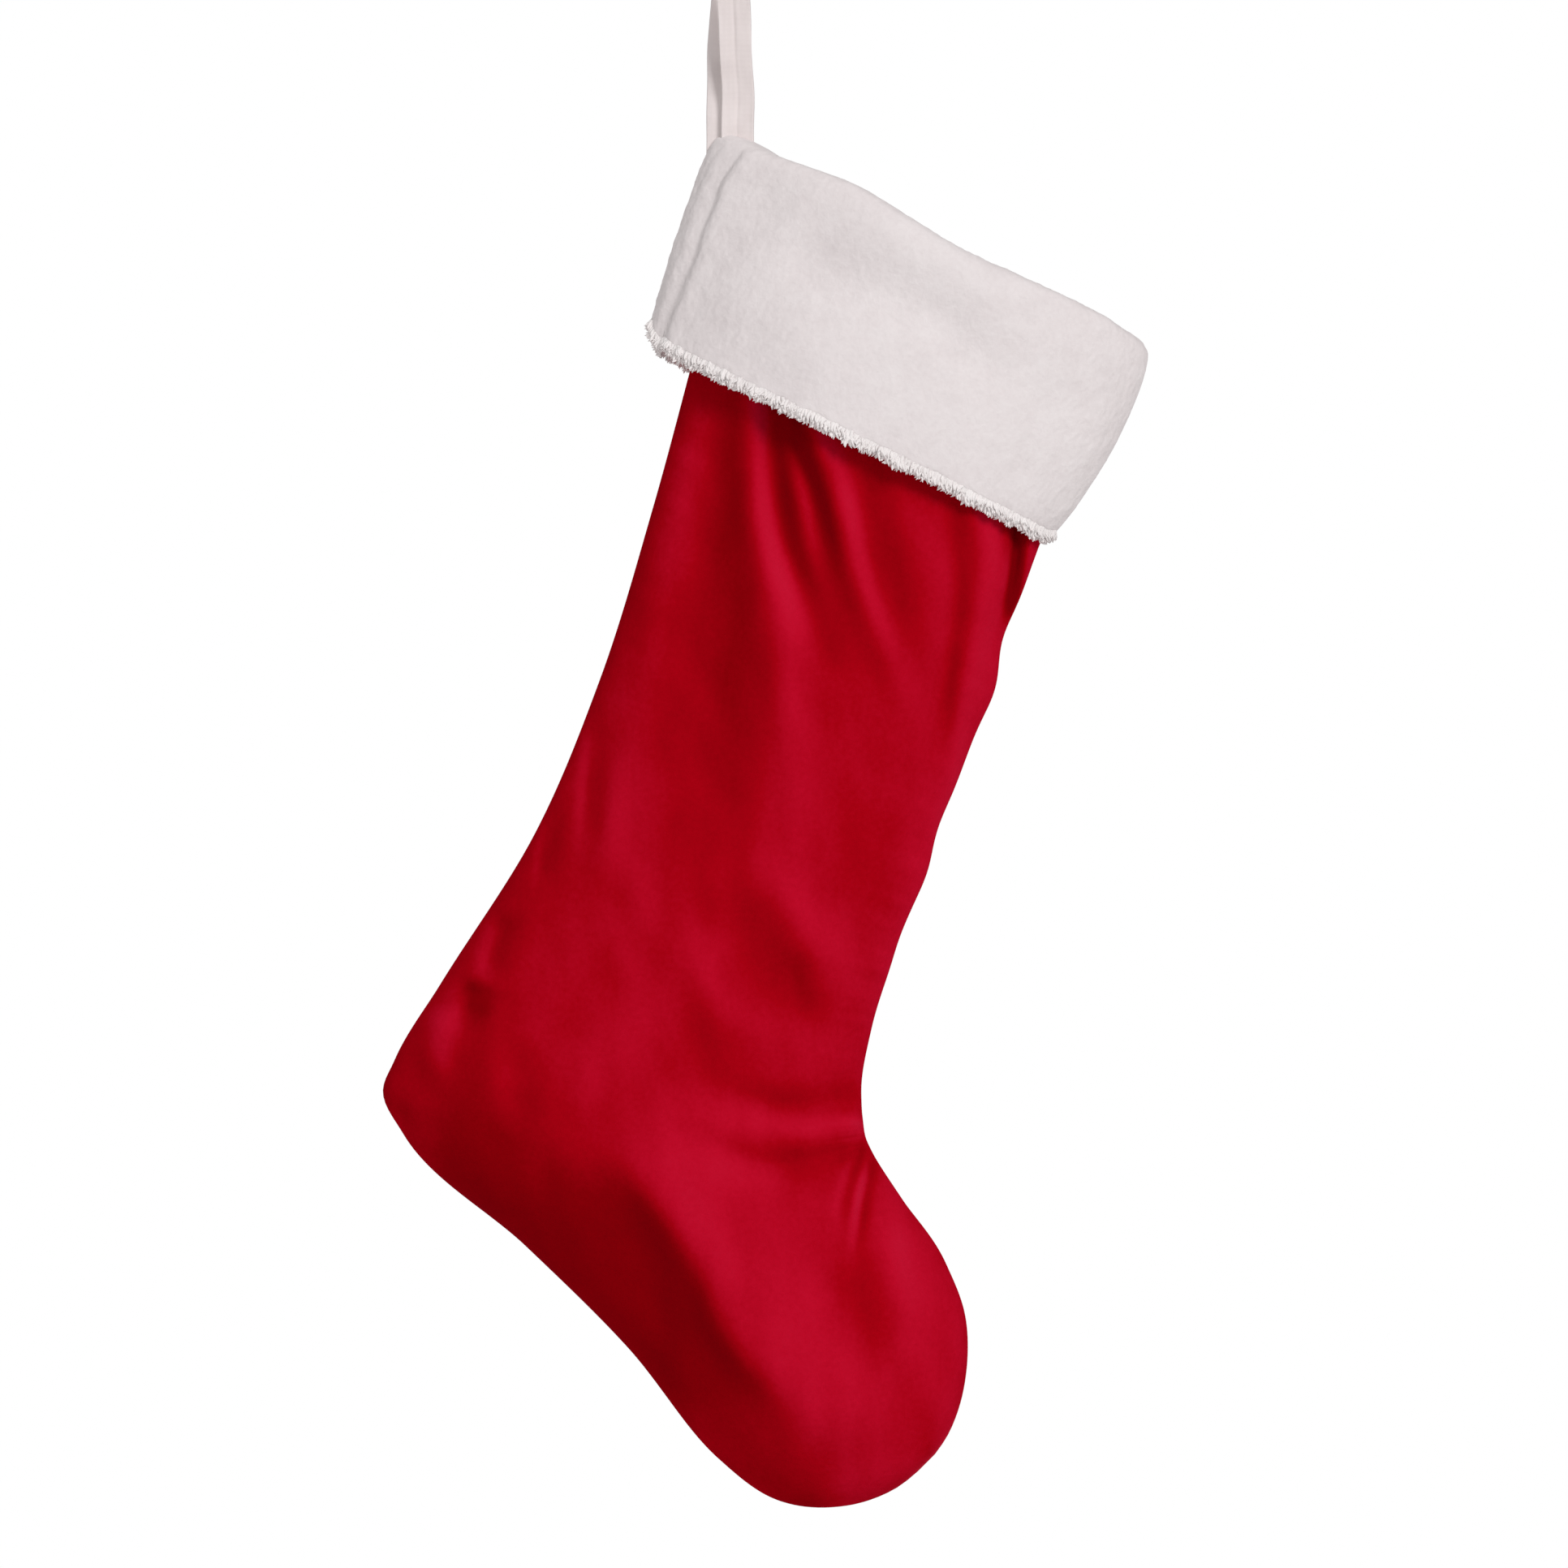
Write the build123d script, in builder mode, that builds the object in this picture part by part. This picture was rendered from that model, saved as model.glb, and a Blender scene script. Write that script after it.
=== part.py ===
"""Hanging stocking: a velvet leg and foot, a lining, a turned-down plush cuff and a strip loop to hang it by.

Millimetres. The origin is the seat of the loop, the middle of the bend that lies on the hook.
+Z is up, +X is the side the toe points to, and the front of the stocking faces -Y.

The stocking is drawn on its own pattern, u across the leg from the cuff's heel-side corner and v down the
leg from the mouth. The pattern then leans over, because the stocking hangs by that one corner.
"""

import os
from math import cos, radians, sin

from build123d import *

os.makedirs("parts", exist_ok=True)

# ---- driving dimensions ----

# The pattern as a whole
stocking_length = 445.0  # mouth to the lowest point of the foot, down the leg
stocking_reach = 290.0  # cuff's heel-side corner to the tip of the toe, across the leg
fullness = 55.0  # front to back where the foot is fullest
lean = 26.0  # degrees that the mouth slopes down towards the toe side

# Velvet shell
velvet = 1.2  # cloth and pile
shell_seam = 6.5  # seam allowance, turned inside

# Lining
lining_cloth = 0.6
lining_seam = 4.0
lining_ease = 0.5  # gap between shell and lining

# Plush cuff
cuff_height = 83.0
cuff_mouth_depth = 52.0  # front to back at the mouth
cuff_hem_depth = 58.0  # front to back at the lower edge
plush = 4.5  # cloth and pile
cuff_side_wall = 1.6  # plush left at the toe-side seam
cuff_heel_wall = 5.0  # plush left at the heel-side fold
mouth_heel_overhang = 16.0  # cuff past the shell at the mouth, heel side
mouth_toe_overhang = 8.0
hem_heel_overhang = 18.5  # cuff past the shell at the lower edge, heel side
hem_toe_overhang = 2.5
roll_radius = 5.0  # rounding of the fold over the mouth
roll_shoulder = 1.5  # the rounding's middle, in from its side and down from its top
cuff_ease = 0.4  # gap between the cuff and what it covers
facing_depth = 22.0  # how far the plush turns down inside the mouth
facing_plush = 3.0
facing_side_gap = 6.0  # facing stops this far from the lining's side seams
heel_seam_at_mouth = 10.0  # cuff's heel-side seam, from the corner, at the mouth
heel_seam_at_hem = 17.5  # the same seam at the lower edge

# Hanging loop
strip_width = 12.0
strip_thickness = 1.6
seat_radius = 7.0  # inside of the bend that lies on the hook
strand_gap = 0.2  # between the two ends where they are sewn in
loop_drop = 54.0  # seat to the line where the strip flexes
flex_reach = 3.25  # flex line to the sewn ends, in radii of the loop's lower end: clear of a 135 degree fold
tail_length = 14.5  # of each sewn end
corner_drop = 62.6  # seat to the cuff's heel-side corner
corner_side = 6.7  # the corner lies this far to the heel side of the loop
slot_ease = 0.3  # room round the sewn ends in the cuff's corner

# Thread
thread = 0.8
tack_width = 8.0
tack_height = 1.4
tack_drop = 6.5  # bar tack below the top of the sewn ends

overcut = 1.0  # a cut runs this far past an open end

# Sections from the mouth to the toe. Each joins a point of the heel and sole edge to a point of the ankle
# and instep edge. The points are per cent of the reach and of the length, the depth per cent of the fullness.
sections = [
    ((5.5, 1.3), (60.0, 1.3), 73),
    ((10.9, 18.7), (60.7, 18.7), 76),
    ((14.4, 30.6), (63.1, 31.0), 80),
    ((17.9, 45.4), (65.2, 43.5), 82),
    ((19.0, 59.3), (66.9, 53.5), 86),
    ((16.6, 73.7), (68.6, 61.5), 93),
    ((15.9, 81.5), (70.6, 66.0), 98),
    ((16.0, 83.6), (71.6, 67.3), 99),
    ((20.5, 86.3), (72.6, 68.4), 100),
    ((41.2, 90.2), (75.5, 70.5), 98),
    ((58.3, 94.0), (81.5, 72.9), 94),
    ((74.7, 99.4), (90.3, 76.2), 85),
    ((83.6, 100.0), (95.5, 79.5), 69),
    ((92.5, 97.8), (99.3, 85.0), 44),
    ((97.2, 94.6), (100.0, 89.5), 18),
]
steps = 3  # rows from one section to the next
shell_toe_rows = 2  # rows that the shell's toe seam takes up
lining_toe_rows = 1


def hang(u, v, y=0.0):
    """A point of the pattern, in the place where it hangs."""
    tilt = radians(lean)
    x = -corner_side + u * cos(tilt) - v * sin(tilt)
    z = -corner_drop - u * sin(tilt) - v * cos(tilt)
    return Vector(x, y, z)


def flow(points):
    """A smooth run of points through the given ones, with a set number of steps between each two."""
    runs = [after - before for before, after in zip(points, points[1:])]
    headings = [runs[0].normalized()]
    for before, after in zip(runs, runs[1:]):
        between = before.normalized() * after.length + after.normalized() * before.length
        headings.append(between.normalized())
    headings.append(runs[-1].normalized())
    line = []
    for i, run in enumerate(runs):
        leave = headings[i] * run.length
        arrive = headings[i + 1] * run.length
        for step in range(steps):
            t = step / steps
            turn = leave * (t * (1 - t) ** 2) - arrive * (t**2 * (1 - t))
            line.append(points[i] + run * (t**2 * (3 - 2 * t)) + turn)
    return line + [points[-1]]


def pattern_points(edge):
    """Points of one edge, 0 the heel and sole or 1 the ankle and instep, with the depth as Z."""
    points = []
    for section in sections:
        u, v = section[edge]
        depth = section[2] * fullness / 100
        points.append(Vector(u * stocking_reach / 100, v * stocking_length / 100, depth))
    return flow(points)


def lens(heel_point, toe_point, depth):
    """A flattened section between two seams: two arcs that meet at them."""
    across = toe_point - heel_point
    normal = across.cross(Vector(0, 1, 0)).normalized()
    half_width = across.length / 2
    with BuildSketch(Plane((heel_point + toe_point) / 2, x_dir=across, z_dir=normal)) as section:
        with BuildLine():
            ThreePointArc((-half_width, 0), (0, depth / 2), (half_width, 0))
            ThreePointArc((half_width, 0), (0, -depth / 2), (-half_width, 0))
        make_face()
    return section.sketch


def inset_lens(heel_point, toe_point, depth, side, face):
    """A section drawn in by side at each seam and by face at the front and the back."""
    inward = (toe_point - heel_point).normalized() * side
    return lens(heel_point + inward, toe_point - inward, depth - 2 * face)


def half_section(row, side, face, seam, wall, facing):
    """Half a section, front (facing -1) or back (+1): cloth of the given wall with a wider flat seam edge."""
    heel, toe, depth = row
    across = toe - heel
    half_width = across.length / 2 - side
    outer_depth = facing * (depth / 2 - face)
    inner_width = half_width - seam
    inner_depth = outer_depth - facing * wall
    normal = across.cross(Vector(0, 1, 0)).normalized()
    with BuildSketch(Plane((heel + toe) / 2, x_dir=across, z_dir=normal)) as section:
        with BuildLine():
            ThreePointArc((-half_width, 0), (0, outer_depth), (half_width, 0))
            if wall:
                Line((half_width, 0), (inner_width, 0))
                ThreePointArc((inner_width, 0), (0, inner_depth), (-inner_width, 0))
                Line((-inner_width, 0), (-half_width, 0))
            else:
                Line((half_width, 0), (-half_width, 0))
        make_face()
    return section.sketch


def panel(side, face, seam, wall, hollow_rows, all_rows, facing):
    """One panel of a seamed pouch, hollow down to one row and solid from there to the toe seam."""
    hollow = rows[:hollow_rows]
    tip = rows[hollow_rows - 1 : all_rows]
    with BuildPart() as half:
        loft([half_section(row, side, face, seam, wall, facing) for row in hollow], ruled=True)
        loft([half_section(row, side, face, 0, 0, facing) for row in tip], ruled=True)
    return half.part


def seam_line(side, row_count):
    """Face of the pattern inside a line at the given distance from the edge, straight across the mouth."""
    heel_edge = []
    toe_edge = []
    for heel, toe, _ in rows[:row_count]:
        inward = (toe - heel).normalized() * side
        heel_edge.append(heel + inward)
        toe_edge.append(toe - inward)
    with BuildSketch(Plane.XZ) as outline:
        with BuildLine():
            Polyline([(p.X, p.Z) for p in heel_edge + toe_edge[::-1]], close=True)
        make_face()
    return outline.sketch_local


def seam_thread(side, row_count):
    """Row of stitches between two panels, the given distance in from the edge, from mouth round to mouth."""
    with BuildPart() as stitches:
        with BuildSketch(Plane.XZ):
            add(seam_line(side, row_count))
            add(seam_line(side + thread, row_count - 1), mode=Mode.SUBTRACT)
        extrude(amount=thread / 2, both=True)
    return stitches.part


def finish(part, label):
    """Name a piece and write its file."""
    part.label = label
    export_step(part, f"parts/{label}.step")


# Rows of the whole pattern from the mouth to the toe: both seam points where they hang, and the depth.
rows = []
for heel_side, toe_side in zip(pattern_points(0), pattern_points(1)):
    depth = (heel_side.Z + toe_side.Z) / 2
    rows.append((hang(heel_side.X, heel_side.Y), hang(toe_side.X, toe_side.Y), depth))

# ---- shell: front and back velvet panels ----

shell_rows = len(rows)
shell_hollow_rows = shell_rows - shell_toe_rows
shell_sizes = (0, 0, shell_seam, velvet, shell_hollow_rows, shell_rows)
shell_front = panel(*shell_sizes, -1)
shell_back = panel(*shell_sizes, 1)
finish(shell_front, "shell_front")
finish(shell_back, "shell_back")

# ---- lining: two thin panels inside the shell ----

lining_side = shell_seam + lining_ease
lining_face = velvet + lining_ease
lining_rows = shell_hollow_rows - 1
lining_hollow_rows = lining_rows - lining_toe_rows
lining_sizes = (lining_side, lining_face, lining_seam, lining_cloth, lining_hollow_rows, lining_rows)
lining_front = panel(*lining_sizes, -1)
lining_back = panel(*lining_sizes, 1)
finish(lining_front, "lining_front")
finish(lining_back, "lining_back")

# ---- cuff: plush folded over the mouth, hanging outside and turned down inside ----

mouth_depth = rows[0][2]
mouth_u = [share / 100 * stocking_reach for share in (sections[0][0][0], sections[0][1][0])]
hem_u = [share / 100 * stocking_reach for share in (sections[1][0][0], sections[1][1][0])]
mouth_v = sections[0][0][1] / 100 * stocking_length
cuff_mouth = (mouth_u[0] - mouth_heel_overhang, mouth_u[1] + mouth_toe_overhang)
cuff_hem = (hem_u[0] - hem_heel_overhang, hem_u[1] + hem_toe_overhang)
slot_top = mouth_v - cuff_ease  # the fold's underside, above the raw edges of shell and lining


def cuff_lens(v, heel_wall=0.0, toe_wall=0.0, face=0.0):
    """Section of the cuff at a distance below the mouth, drawn in by the walls given."""
    share = v / cuff_height
    heel_u = cuff_mouth[0] + share * (cuff_hem[0] - cuff_mouth[0]) + heel_wall
    toe_u = cuff_mouth[1] + share * (cuff_hem[1] - cuff_mouth[1]) - toe_wall
    depth = cuff_mouth_depth + share * (cuff_hem_depth - cuff_mouth_depth)
    return lens(hang(heel_u, v), hang(toe_u, v), depth - 2 * face)


def mouth_lens(v, side, face):
    """Section inside the mouth, drawn in from the shell's own edge."""
    return inset_lens(hang(mouth_u[0], v), hang(mouth_u[1], v), mouth_depth, side, face)


facing_side = lining_side + lining_seam + facing_side_gap
facing_face = lining_face + lining_cloth + cuff_ease
loop_end_radius = strand_gap / 2 + strip_thickness
sewn_top = -(loop_drop + flex_reach * loop_end_radius)  # height of the top of the strip's sewn ends
sewn_bottom = sewn_top - tail_length

with BuildPart() as cuff:
    loft([cuff_lens(cuff_height), cuff_lens(roll_radius)], ruled=True)
    loft(
        [
            cuff_lens(roll_radius),
            cuff_lens(roll_shoulder, roll_shoulder, roll_shoulder, roll_shoulder),
            cuff_lens(0, roll_radius, roll_radius, roll_radius),
        ],
        ruled=True,
    )
    loft(
        [
            cuff_lens(cuff_height + overcut, cuff_heel_wall, cuff_side_wall, plush),
            cuff_lens(slot_top, cuff_heel_wall, cuff_side_wall, plush),
        ],
        ruled=True,
        mode=Mode.SUBTRACT,
    )
    loft(
        [
            mouth_lens(facing_depth, facing_side, facing_face),
            mouth_lens(slot_top / 2, facing_side, facing_face),
        ],
        ruled=True,
    )
    mouth_side = facing_side + facing_plush
    mouth_face = facing_face + facing_plush
    loft(
        [
            mouth_lens(facing_depth + overcut, mouth_side, mouth_face),
            mouth_lens(-overcut, mouth_side, mouth_face),
        ],
        ruled=True,
        mode=Mode.SUBTRACT,
    )
    with BuildSketch(Plane.XY.offset(sewn_bottom - slot_ease)):
        Rectangle(strip_width + 2 * slot_ease, 2 * (loop_end_radius + slot_ease))
    extrude(amount=corner_drop, mode=Mode.SUBTRACT)

heel_seam_top = hang(heel_seam_at_mouth, 0)
heel_seam_low = hang(heel_seam_at_hem, cuff_height)
heel_seam_run = heel_seam_low - heel_seam_top
heel_seam_plane = Plane(heel_seam_top, x_dir=heel_seam_run, z_dir=heel_seam_run.cross(Vector(0, 1, 0)))

with BuildPart() as cuff_front:
    add(cuff.part)
    split(bisect_by=Plane.XZ, keep=Keep.TOP)
    split(bisect_by=heel_seam_plane, keep=Keep.TOP)
finish(cuff_front.part, "cuff_front")

with BuildPart() as cuff_back:
    add(cuff.part)
    add(cuff_front.part, mode=Mode.SUBTRACT)
finish(cuff_back.part, "cuff_back")

# ---- hanging loop: a strip over the hook, and its two ends sewn into the cuff's corner ----


def belt(top_radius, low_radius):
    """Outline of a band round the hook and round the flex line, seen along the hook."""
    with BuildSketch(Plane.YZ) as outline:
        Circle(top_radius)
        with Locations((0, -loop_drop)):
            Circle(low_radius)
        make_hull()
    return outline.sketch_local


with BuildPart() as hanging_loop:
    with BuildSketch(Plane.YZ):
        add(belt(seat_radius + strip_thickness, loop_end_radius))
        add(belt(seat_radius, strand_gap / 2), mode=Mode.SUBTRACT)
    extrude(amount=strip_width / 2, both=True)
finish(hanging_loop.part, "hanging_loop")

tack_z = sewn_top - tack_drop
sewn_spacing = strand_gap + strip_thickness

with BuildPart() as loop_ends:
    with BuildSketch(Plane.XY.offset(sewn_top)):
        with GridLocations(0, sewn_spacing, 1, 2):
            Rectangle(strip_width, strip_thickness)
    extrude(amount=-tail_length)
    with BuildSketch(Plane.XZ):
        with Locations((0, tack_z)):
            Rectangle(tack_width, tack_height)
    extrude(amount=sewn_spacing, both=True, mode=Mode.SUBTRACT)
finish(loop_ends.part, "loop_ends")

# ---- threads ----

with BuildPart() as loop_tack_thread:
    with BuildSketch(Plane.XZ):
        with Locations((0, tack_z)):
            Rectangle(tack_width, tack_height)
    extrude(amount=sewn_spacing, both=True)
finish(loop_tack_thread.part, "loop_tack_thread")

shell_seam_thread = seam_thread(shell_seam - 2 * thread, shell_rows - 1)
lining_seam_thread = seam_thread(lining_side + lining_seam - 2 * thread, lining_rows)
finish(shell_seam_thread, "shell_seam_thread")
finish(lining_seam_thread, "lining_seam_thread")


def straight_thread(start, end):
    """Stitches along a straight seam."""
    with BuildPart() as stitches:
        with BuildSketch(Plane(start, z_dir=end - start)):
            Circle(thread / 2)
        extrude(amount=(end - start).length)
    return stitches.part


def cuff_half_depth(u, v):
    """Distance of the cuff's outer face from the middle plane at a point of the pattern."""
    share = v / cuff_height
    heel_u = cuff_mouth[0] + share * (cuff_hem[0] - cuff_mouth[0])
    toe_u = cuff_mouth[1] + share * (cuff_hem[1] - cuff_mouth[1])
    half_depth = (cuff_mouth_depth + share * (cuff_hem_depth - cuff_mouth_depth)) / 2
    off_centre = (2 * u - heel_u - toe_u) / (toe_u - heel_u)
    return half_depth * (1 - off_centre**2)


seam_end = 3 * thread  # stitches stop this far from the top and the lower edge
heel_seam_depths = [
    cuff_half_depth(heel_seam_at_mouth, roll_radius) / 2,
    cuff_half_depth(heel_seam_at_hem, cuff_height) / 2,
]
cuff_heel_seam_thread = straight_thread(
    heel_seam_top + heel_seam_run.normalized() * (tail_length + seam_end) - Vector(0, heel_seam_depths[0], 0),
    heel_seam_low - heel_seam_run.normalized() * seam_end - Vector(0, heel_seam_depths[1], 0),
)
cuff_toe_seam_thread = straight_thread(
    hang(cuff_mouth[1] - cuff_side_wall / 2 - roll_radius, roll_radius + seam_end),
    hang(cuff_hem[1] - cuff_side_wall / 2, cuff_height - seam_end),
)
finish(cuff_heel_seam_thread, "cuff_heel_seam_thread")
finish(cuff_toe_seam_thread, "cuff_toe_seam_thread")

with BuildPart() as mouth_seam_thread:
    ring_top = facing_depth - seam_end
    ring_face = facing_face + facing_plush / 2
    loft(
        [mouth_lens(ring_top, shell_seam, velvet / 2), mouth_lens(ring_top + thread, shell_seam, velvet / 2)],
        ruled=True,
    )
    loft(
        [
            mouth_lens(ring_top - overcut, facing_side, ring_face),
            mouth_lens(ring_top + thread + overcut, facing_side, ring_face),
        ],
        ruled=True,
        mode=Mode.SUBTRACT,
    )
finish(mouth_seam_thread.part, "mouth_seam_thread")
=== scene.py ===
import math
import random

import bpy
import numpy as np
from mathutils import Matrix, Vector, noise


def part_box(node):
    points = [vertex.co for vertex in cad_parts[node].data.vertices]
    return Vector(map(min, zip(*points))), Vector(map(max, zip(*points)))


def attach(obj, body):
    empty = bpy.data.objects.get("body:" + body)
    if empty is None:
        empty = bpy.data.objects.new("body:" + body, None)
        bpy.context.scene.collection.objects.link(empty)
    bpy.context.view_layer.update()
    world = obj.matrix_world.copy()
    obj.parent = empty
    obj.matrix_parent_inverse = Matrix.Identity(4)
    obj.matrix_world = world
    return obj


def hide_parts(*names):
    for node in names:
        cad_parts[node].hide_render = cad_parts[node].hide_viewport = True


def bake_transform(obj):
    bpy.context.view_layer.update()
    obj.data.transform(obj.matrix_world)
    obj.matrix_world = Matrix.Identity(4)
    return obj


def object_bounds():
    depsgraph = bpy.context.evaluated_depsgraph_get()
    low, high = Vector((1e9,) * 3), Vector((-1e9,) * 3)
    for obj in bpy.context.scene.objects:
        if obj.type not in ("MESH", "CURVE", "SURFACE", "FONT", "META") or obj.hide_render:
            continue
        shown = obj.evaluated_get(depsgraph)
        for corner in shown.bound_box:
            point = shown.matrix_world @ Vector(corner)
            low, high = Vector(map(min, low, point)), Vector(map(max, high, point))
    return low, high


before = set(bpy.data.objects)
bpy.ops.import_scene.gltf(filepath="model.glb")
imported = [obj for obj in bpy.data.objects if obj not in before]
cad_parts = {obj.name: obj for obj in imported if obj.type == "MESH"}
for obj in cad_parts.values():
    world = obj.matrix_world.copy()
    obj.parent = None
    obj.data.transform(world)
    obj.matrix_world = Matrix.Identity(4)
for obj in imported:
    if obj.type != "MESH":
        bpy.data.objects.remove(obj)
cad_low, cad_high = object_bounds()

mm = 0.001

# ---- Camera ----
# A long lens, level and square to the front, far enough off to see the stocking almost without
# perspective. The loop runs out of the top of the picture.
view_width = 580 * mm
camera_distance = 3.2
film_width = 36
room_left = 142 * mm  # from the heel to the picture's edge
room_below = 22.5 * mm  # from the foot to the picture's edge
aim = Vector((cad_low.x - room_left + view_width / 2, 0, cad_low.z - room_below + view_width / 2))
bpy.ops.object.camera_add(location=aim - Vector((0, camera_distance, 0)), rotation=(math.pi / 2, 0, 0))
camera = bpy.context.object
camera.name = "camera"
camera.data.sensor_width = film_width
camera.data.lens = film_width * camera_distance / view_width
camera.data.clip_end = 50
bpy.context.scene.camera = camera

# ---- Studio ----
# A pale floor well below the foot, a white room, a soft key light in front on the toe side, a wide and
# weaker one on the heel side that opens the shadows, and one behind.
floor_drop = 180 * mm
floor_radius = 0.9


def new_finish(name, values):
    """A material with the given values on its shader, and its nodes, links and shader."""
    finish = bpy.data.materials.new(name)
    finish.use_nodes = True
    nodes, links = finish.node_tree.nodes, finish.node_tree.links
    shader = nodes["Principled BSDF"]
    for label, value in values.items():
        shader.inputs[label].default_value = value
    return finish, nodes, links, shader


bpy.ops.mesh.primitive_circle_add(
    vertices=96, radius=floor_radius, fill_type="NGON", location=(aim.x, 0, cad_low.z - floor_drop)
)
floor = bpy.context.object
floor.name = "floor"
floor_values = {"Base Color": (0.82, 0.82, 0.82, 1), "Roughness": 0.7}
floor.data.materials.append(new_finish("floor_finish", floor_values)[0])

# The room looks white behind the stocking, and casts a dimmer and slightly warm light on it.
room = bpy.data.worlds.new("room")
room.use_nodes = True
bpy.context.scene.world = room
room_nodes = room.node_tree.nodes
room_links = room.node_tree.links
seen = room_nodes["Background"]
seen.inputs["Color"].default_value = (1, 1, 1, 1)
seen.inputs["Strength"].default_value = 1.0
lit = room_nodes.new("ShaderNodeBackground")
lit.inputs["Color"].default_value = (1.0, 0.985, 0.975, 1)
lit.inputs["Strength"].default_value = 0.34
rays = room_nodes.new("ShaderNodeLightPath")
choose = room_nodes.new("ShaderNodeMixShader")
room_links.new(rays.outputs["Is Camera Ray"], choose.inputs["Fac"])
room_links.new(lit.outputs["Background"], choose.inputs[1])
room_links.new(seen.outputs["Background"], choose.inputs[2])
room_links.new(choose.outputs["Shader"], room_nodes["World Output"].inputs["Surface"])


def soft_light(name, place, size, power):
    """A square light that points at the middle of the stocking."""
    bpy.ops.object.light_add(type="AREA", location=place)
    light = bpy.context.object
    light.name = name
    light.data.shape = "SQUARE"
    light.data.size = size
    light.data.energy = power
    light.rotation_euler = (aim - Vector(place)).to_track_quat("-Z", "Y").to_euler()


soft_light("key_light", (1.25, -1.75, 0.95), 0.9, 37)
soft_light("fill_light", (-1.6, -2.2, 0.1), 1.6, 18)
soft_light("back_light", (-0.9, 2.2, 0.7), 1.2, 40)
bpy.context.scene.view_settings.view_transform = "Standard"

# ---- Velvet shell ----
# Front and back panels cut to one pattern from red velvet and seamed with the edges turned inside.
# The leg hangs from its heel-side corner, so it falls in long folds under the cuff and breaks at the ankle.
lean = math.radians(26)
corner = np.array((-6.7 * mm, -62.6 * mm))  # the cuff's heel-side corner, X and Z
reach = 290 * mm
length = 445 * mm
fullness = 55 * mm  # from front to back
rows_apart = 24  # fine rows from one of the sections to the next
# Per cent of the reach and of the length at the heel or sole edge, the same at the ankle or instep edge,
# and the depth in per cent of the fullness.
sections = [
    (5.5, 1.3, 60.0, 1.3, 73),
    (10.9, 18.7, 60.7, 18.7, 76),
    (14.4, 30.6, 63.1, 31.0, 80),
    (17.9, 45.4, 65.2, 43.5, 82),
    (19.0, 59.3, 66.9, 53.5, 86),
    (16.6, 73.7, 68.6, 61.5, 93),
    (15.6, 81.2, 70.6, 66.0, 98),
    (16.0, 83.8, 71.6, 67.3, 99),
    (20.6, 86.2, 72.6, 68.4, 100),
    (41.2, 90.2, 75.5, 70.5, 98),
    (58.3, 94.0, 81.5, 72.9, 94),
    (74.9, 99.0, 90.3, 76.2, 85),
    (83.6, 100.0, 95.5, 79.5, 69),
    (92.5, 97.8, 99.3, 85.0, 46),
    (97.2, 94.6, 100.0, 89.0, 20),
    (98.6, 92.7, 99.6, 90.8, 0),
]


def hang(u, v):
    """X and Z of a point of the pattern, u across the leg and v down it."""
    u, v = np.asarray(u, float), np.asarray(v, float)
    x = corner[0] + u * math.cos(lean) - v * math.sin(lean)
    z = corner[1] - u * math.sin(lean) - v * math.cos(lean)
    return np.stack([x, z], axis=-1)


def flow(points, steps):
    """A smooth run of points through the given ones, with a set number of steps between each two."""
    points = np.array(points, float)
    runs = np.diff(points, axis=0)
    sizes = np.linalg.norm(runs, axis=1)[:, None]
    ways = runs / sizes
    between = ways[:-1] * sizes[1:] + ways[1:] * sizes[:-1]
    between /= np.linalg.norm(between, axis=1)[:, None]
    headings = np.vstack([ways[:1], between, ways[-1:]])
    t = np.linspace(0, 1, steps, endpoint=False)[None, :, None]
    start = points[:-1, None]
    run = runs[:, None]
    leave = (headings[:-1] * sizes)[:, None]
    arrive = (headings[1:] * sizes)[:, None]
    line = start + run * (t**2 * (3 - 2 * t)) + leave * (t * (1 - t) ** 2) - arrive * (t**2 * (1 - t))
    return np.vstack([line.reshape(-1, points.shape[1]), points[-1:]])


def even_rows(count, last=None):
    """Heel-side points, toe-side points and depths of the pattern at even steps from the mouth down."""
    table = np.array(sections, float)
    scale = np.array([reach, length, reach, length, fullness]) / 100
    fine = flow(table * scale, rows_apart)
    if last:
        fine = fine[:last]
    heel = hang(fine[:, 0], fine[:, 1])
    toe = hang(fine[:, 2], fine[:, 3])
    steps = np.linalg.norm(np.diff((heel + toe) / 2, axis=0), axis=1)
    steps += 0.35 * np.linalg.norm(np.diff(heel, axis=0), axis=1)
    run = np.concatenate([[0], np.cumsum(steps)])
    even = np.linspace(0, run[-1], count)
    columns = [heel[:, 0], heel[:, 1], toe[:, 0], toe[:, 1], fine[:, 4]]
    sampled = [np.interp(even, run, column) for column in columns]
    return np.stack(sampled[0:2], 1), np.stack(sampled[2:4], 1), np.maximum(sampled[4], 0)


def deselect():
    """Nothing selected, so that the next operator acts on the new piece alone."""
    bpy.ops.object.select_all(action="DESELECT")


def cloth_grid(name, columns, rows):
    """A flat grid with that many points each way, ready to be laid into shape."""
    deselect()
    bpy.ops.mesh.primitive_grid_add(x_subdivisions=columns - 1, y_subdivisions=rows - 1, size=1)
    piece = bpy.context.object
    piece.name = name
    piece.data.name = name
    return piece


def lay(piece, points):
    """Moves a grid's points to their places, given row by row, and smooths its shading."""
    piece.data.vertices.foreach_set("co", np.ascontiguousarray(points, float).reshape(-1))
    piece.data.update()
    piece.data.shade_smooth()


def face_out(piece, towards):
    """Turns the faces so that they look along the given direction on the whole."""
    total = sum((p.normal * p.area for p in piece.data.polygons), Vector())
    if total.dot(Vector(towards)) < 0:
        piece.data.flip_normals()


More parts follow.
